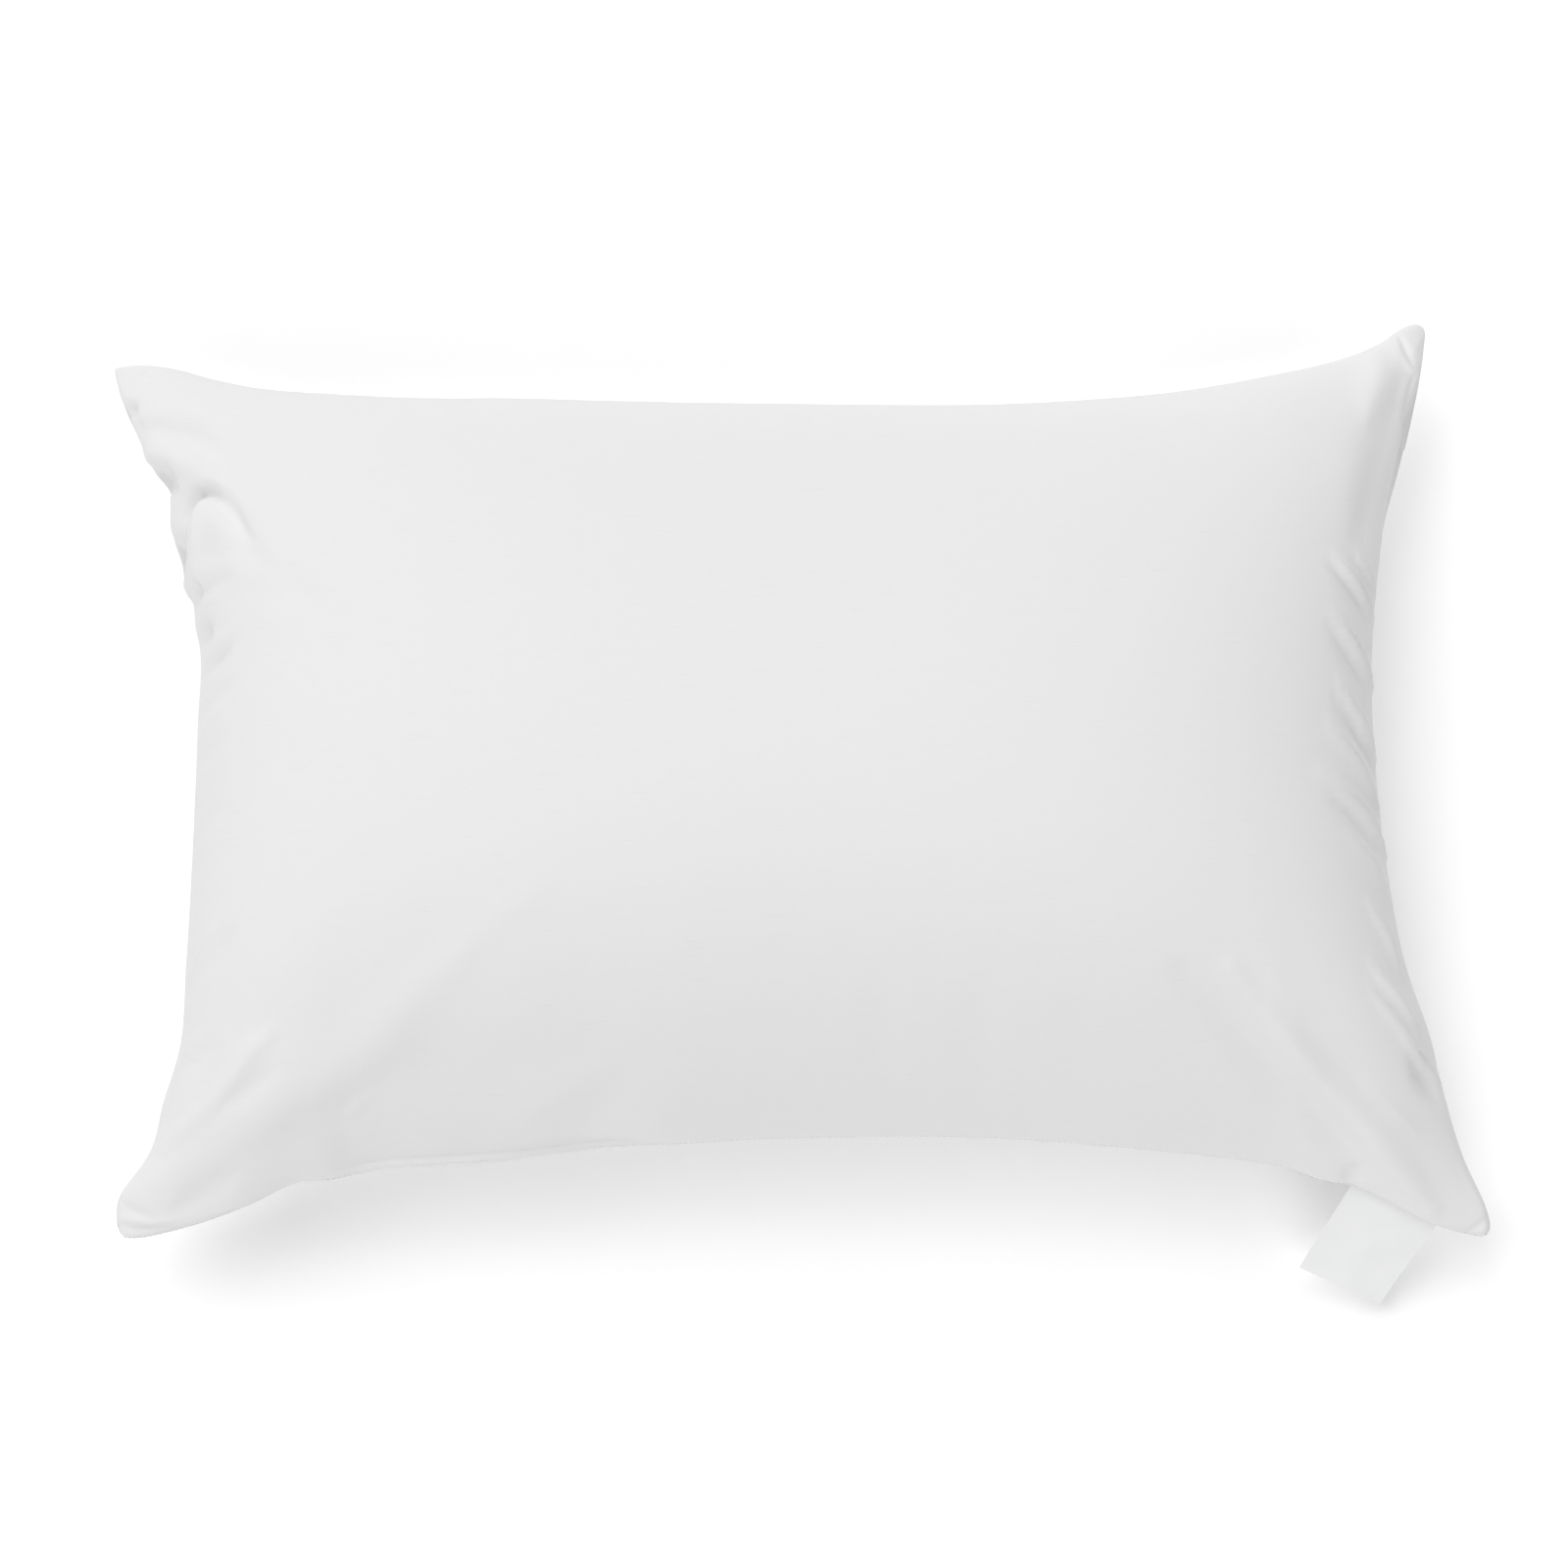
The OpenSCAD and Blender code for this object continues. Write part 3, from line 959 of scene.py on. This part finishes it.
@dataclass
class ThreadRow:
    """One row of sewing thread, made by geometry nodes along a path."""

    name: str
    replaces: str
    form: FilledForm
    piece: Object = field(init=False)

    def path(self) -> np.ndarray:
        """The thread's line. Each kind of row has its own."""
        raise NotImplementedError

    def grow(self) -> tuple[NodeTree, NodeSocket, Values]:
        """The nodes that make thread of the path. Each kind of row has its own."""
        raise NotImplementedError

    def build(self) -> None:
        """Make the thread along its path and keep it as a plain mesh."""
        self.piece = new_wire(self.name, self.path())
        tree, made, values = self.grow()
        real = add(tree, "GeometryNodeRealizeInstances", {0: made})
        coat = add(tree, "GeometryNodeSetMaterial", {"Geometry": real.outputs[0]})
        coat.inputs["Material"].default_value = bpy.data.materials[SpunThread.name]
        add(tree, "NodeGroupOutput", {0: coat.outputs[0]})
        use = self.piece.modifiers.new("thread", "NODES")
        use.node_group = tree
        for identifier, value in values.items():
            use[identifier] = value
        bake_modifiers(self.piece)

    def dress(self, thread: Material) -> None:
        self.piece.data.materials.clear()
        self.piece.data.materials.append(thread)
        self.piece.data.shade_smooth()
        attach(self.piece, "pillow")
        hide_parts(self.replaces)


@dataclass
class StitchRow(ThreadRow):
    """A straight row of lockstitches on one face of the closing strip."""

    side: Side
    inset: float = 0.0021
    off_strip: float = 0.0008
    ends: float = 0.985
    pitch: float = 0.0030
    length: float = 0.0026
    radius: float = 0.00028

    def path(self) -> np.ndarray:
        """The row's line on the strip."""
        u = np.linspace(-self.ends, self.ends, 400)
        edge = self.form.surface(u, np.full(u.shape, -1.0), Side.TOP)
        return strip_point(edge, u, self.inset, self.side.value * self.off_strip)

    def grow(self) -> tuple[NodeTree, NodeSocket, Values]:
        """One slightly uneven stitch at every pitch along the path."""
        tree, given, values = start_tree(
            f"{self.name}_stitches",
            {"Pitch": self.pitch, "Length": self.length, "Radius": self.radius, "Seed": SEED},
        )
        curve = add(tree, "GeometryNodeMeshToCurve", {0: given.outputs["Geometry"]})
        points = add(
            tree, "GeometryNodeCurveToPoints",
            {"Curve": curve.outputs[0], "Length": given.outputs["Pitch"]},
            mode="LENGTH",
        )
        stitch = add(tree, "GeometryNodeMeshUVSphere", {"Segments": 8, "Rings": 6, "Radius": 1.0})
        half = add(tree, "ShaderNodeMath", {0: given.outputs["Length"], 1: 0.5}, operation="MULTIPLY")
        # a pulled stitch lies flatter than it is wide
        low = add(tree, "ShaderNodeMath", {0: given.outputs["Radius"], 1: 0.8}, operation="MULTIPLY")
        size = add(
            tree, "ShaderNodeCombineXYZ",
            {"X": given.outputs["Radius"], "Y": low.outputs[0], "Z": half.outputs[0]},
        )
        vary = add(
            tree, "FunctionNodeRandomValue",
            {"Min": (0.85, 0.9, 0.9), "Max": (1.15, 1.1, 1.0), "Seed": given.outputs["Seed"]},
            data_type="FLOAT_VECTOR",
        )
        scaled = add(
            tree, "ShaderNodeVectorMath",
            {0: size.outputs[0], 1: vary.outputs["Value"]},
            operation="MULTIPLY",
        )
        placed = add(
            tree, "GeometryNodeInstanceOnPoints",
            {
                "Points": points.outputs["Points"],
                "Instance": stitch.outputs["Mesh"],
                "Rotation": points.outputs["Rotation"],
                "Scale": scaled.outputs[0],
            },
        )
        return tree, placed.outputs[0], values


@dataclass
class OverlockRow(ThreadRow):
    """The looped overlock thread that binds the raw edges inside one turned seam."""

    seam: Seam
    inset: float = 0.012
    bite: float = 0.0020
    lift: float = 0.0005
    ends: float = 0.93
    pitch: float = 0.0016
    radius: float = 0.00022

    def path(self) -> np.ndarray:
        """The thread's zigzag line just inside the seam."""
        t = np.linspace(-self.ends, self.ends, 4000)
        still = np.ones_like(t)
        u, v, inward = {
            Seam.BACK: (t, still, (0, -1, 0)),
            Seam.LEFT: (-still, t, (1, 0, 0)),
            Seam.RIGHT: (still, t, (-1, 0, 0)),
        }[self.seam]
        line = np.concatenate([self.form.plan(u, v), self.form.seam(u, v)[:, None]], axis=1)
        run = np.linalg.norm(np.diff(line, axis=0), axis=1)
        arc = np.concatenate([[0], np.cumsum(run)])
        stops = np.arange(0, arc[-1], self.pitch)
        line = np.stack([np.interp(stops, arc, line[:, k]) for k in range(3)], axis=1)
        swing = np.where(np.arange(len(line)) % 2 == 0, -1.0, 1.0)[:, None]
        line += np.array(inward) * (self.inset + self.bite * swing)
        line[:, 2] += self.lift * swing[:, 0]
        return line

    def grow(self) -> tuple[NodeTree, NodeSocket, Values]:
        """A round thread swept along the zigzag."""
        tree, given, values = start_tree(f"{self.name}_sweep", {"Radius": self.radius})
        curve = add(tree, "GeometryNodeMeshToCurve", {0: given.outputs["Geometry"]})
        section = add(
            tree, "GeometryNodeCurvePrimitiveCircle", {"Resolution": 6, "Radius": given.outputs["Radius"]}
        )
        swept = add(
            tree, "GeometryNodeCurveToMesh",
            {"Curve": curve.outputs[0], "Profile Curve": section.outputs[0], "Fill Caps": True},
        )
        return tree, swept.outputs[0], values


# ---------------------------------------------------------------- label


@dataclass
class CareLabel:
    """The blank label sewn into the closing seam by one end, hanging clear of the floor."""

    sewn_to: Object
    width: float = 0.051
    length: float = 0.066
    sewn_in: float = 0.004
    thick: float = 0.0003
    # the sewn edge's slope and the label's own direction, as turns seen from above
    skew: float = math.radians(-24.0)
    lean: float = math.radians(-28.5)
    # the sewn edge drops to the right by this share of its run
    drop_right: float = 0.19
    # the sewn edge lies this far from the hinge's middle
    root_shift: tuple[float, float, float] = (-0.0025, 0.0060, 0.0)
    # the label falls at the first angle at both ends and steeper by the second in its middle
    fall: tuple[float, float] = (27.0, 18.0)
    tip_z: float = 0.016
    # the free end twists, its right corner lower, and so looks narrower from above
    twist: float = 0.16
    narrowing: float = 0.05
    ripple: float = 0.0006
    cells: tuple[int, int] = (20, 32)
    bend: float = 0.008
    hinge: np.ndarray = field(init=False)
    outward: np.ndarray = field(init=False)
    piece: Object = field(init=False)

    def build(self) -> None:
        """Hang the label from the hinge line, bowing down to its free end."""
        joint = next(j for j in frame["joints"] if j["name"] == "label_flap")
        self.hinge = np.array(joint["pos_m"])
        self.outward = np.array([math.sin(self.lean), -math.cos(self.lean), 0.0])
        across = np.array([math.cos(self.skew), math.sin(self.skew), -self.drop_right])
        nu, nv = self.cells
        shares = np.linspace(-0.5, 0.5, nu + 1), np.linspace(0, 1, nv + 1)
        side, run = np.meshgrid(*shares, indexing="ij")
        run = run * (self.length + self.sewn_in) - self.sewn_in
        # the fall steepens from the seam, then eases at the free end
        steps = np.linspace(0, self.length, 200)
        middle = np.sin(math.pi * np.clip(steps / self.length, 0, 1) ** 0.8)
        fall = np.radians(self.fall[0] + self.fall[1] * middle)
        reach = np.concatenate([[0], np.cumsum(np.cos(fall[1:]) * np.diff(steps))])
        drop = np.concatenate([[0], np.cumsum(np.sin(fall[1:]) * np.diff(steps))])
        out = np.where(run < 0, run, np.interp(run, steps, reach))
        share = np.interp(run, steps, drop) / drop[-1]
        sideways = side[..., None] * self.width * across
        root = self.hinge + np.array(self.root_shift) + sideways
        place = root + out[..., None] * self.outward
        place -= self.narrowing * share[..., None] * sideways
        place[..., 2] = root[..., 2] + (self.tip_z - root[..., 2]) * share
        twist = self.ripple * np.sin(7 * side + 1.3) - self.twist * self.width * side
        place[..., 2] += twist * share
        index = np.arange(side.size).reshape(side.shape)
        quads = np.stack([index[:-1, :-1], index[:-1, 1:], index[1:, 1:], index[1:, :-1]], -1)
        self.piece = new_object("care_label_tape", place.reshape(-1, 3), quads.reshape(-1, 4))
        thick = self.piece.modifiers.new("thick", "SOLIDIFY")
        thick.thickness, thick.offset = self.thick, 0.0
        bake_modifiers(self.piece)
        self.piece.data.set_sharp_from_angle(angle=math.radians(50))

    def dress(self, tape: Material) -> None:
        self.piece.data.materials.clear()
        self.piece.data.materials.append(tape)
        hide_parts("care_label")
        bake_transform(self.piece)


# ---------------------------------------------------------------- stage


@dataclass
class Studio:
    """Pale floor, soft light from the back left, and the camera high over the front edge."""

    elevation: float = 82.5
    distance: float = 1.81
    lens: float = 78.0
    aim: tuple[float, float, float] = (0.0, -0.0095, 0.07)
    world_light: float = 0.19
    floor_reach: float = 4.0
    # a little light of its own keeps the board white, as a lit backdrop does
    floor_glow: float = 0.11
    # name, direction it comes from, power and spread in degrees
    suns: tuple[tuple[str, tuple[float, float, float], float, float], ...] = (
        ("key", (-0.57, 0.38, 1.0), 1.18, 42.0),
        ("back", (0.0, 1.0, 0.8), 1.26, 62.0),
        ("front", (0.05, -1.0, 0.8), 1.36, 60.0),
    )

    def build(self) -> None:
        """Make the floor, lights and camera."""
        scene = bpy.context.scene
        scene.view_settings.view_transform = "Standard"
        reach = self.floor_reach
        corners = [(-reach, -reach, 0), (reach, -reach, 0), (reach, reach, 0), (-reach, reach, 0)]
        floor = new_object("floor", corners, [(0, 1, 2, 3)], False)
        sheet = bpy.data.materials.new("matt_white_board")
        sheet.use_nodes = True
        shader = sheet.node_tree.nodes["Principled BSDF"]
        shader.inputs["Base Color"].default_value = linear("FAFAFA")
        shader.inputs["Roughness"].default_value = 0.95
        shader.inputs["Emission Color"].default_value = (1, 1, 1, 1)
        shader.inputs["Emission Strength"].default_value = self.floor_glow
        floor.data.materials.append(sheet)
        world = bpy.data.worlds.new("studio")
        world.use_nodes = True
        world.node_tree.nodes["Background"].inputs["Color"].default_value = (1, 1, 1, 1)
        world.node_tree.nodes["Background"].inputs["Strength"].default_value = self.world_light
        scene.world = world
        for name, direction, power, spread in self.suns:
            data = bpy.data.lights.new(name, "SUN")
            data.energy, data.angle = power, math.radians(spread)
            lamp = bpy.data.objects.new(name, data)
            lamp.rotation_euler = (-Vector(direction)).to_track_quat("-Z", "Y").to_euler()
            scene.collection.objects.link(lamp)
        eye = math.radians(self.elevation)
        back = Vector((0.0, -math.cos(eye), math.sin(eye)))
        data = bpy.data.cameras.new("view")
        data.lens = self.lens
        camera = bpy.data.objects.new("view", data)
        camera.location = Vector(self.aim) + back * self.distance
        camera.rotation_euler = (-back).to_track_quat("-Z", "Y").to_euler()
        scene.collection.objects.link(camera)
        scene.camera = camera


def main() -> None:
    """Build the studio and every piece, in order."""
    logging.basicConfig(level=logging.INFO, format="%(name)s: %(message)s")
    Studio().build()
    cotton = WovenCotton().material()
    thread = SpunThread().material()
    tape = LabelTape().material()
    form = FilledForm()
    bag = ClothBag(form)
    bag.build()
    bag.dress(cotton)
    LOG.info("cloth bag: %d faces", len(bag.piece.data.polygons))
    rows: list[ThreadRow] = [
        StitchRow("closing_stitches_upper", "closing_needle_thread", form, Side.TOP),
        StitchRow("closing_stitches_lower", "closing_bobbin_thread", form, Side.UNDER),
    ]
    for seam in Seam:
        replaced = f"{seam.value}_overlock_thread"
        rows.append(OverlockRow(f"overlock_{seam.value}", replaced, form, seam))
    for row in rows:
        row.build()
        row.dress(thread)
        LOG.info("%s: %d faces", row.name, len(row.piece.data.polygons))
    label = CareLabel(bag.piece)
    label.build()
    label.dress(tape)
    LOG.info("care label: %d faces", len(label.piece.data.polygons))


if __name__ == "__main__":
    main()
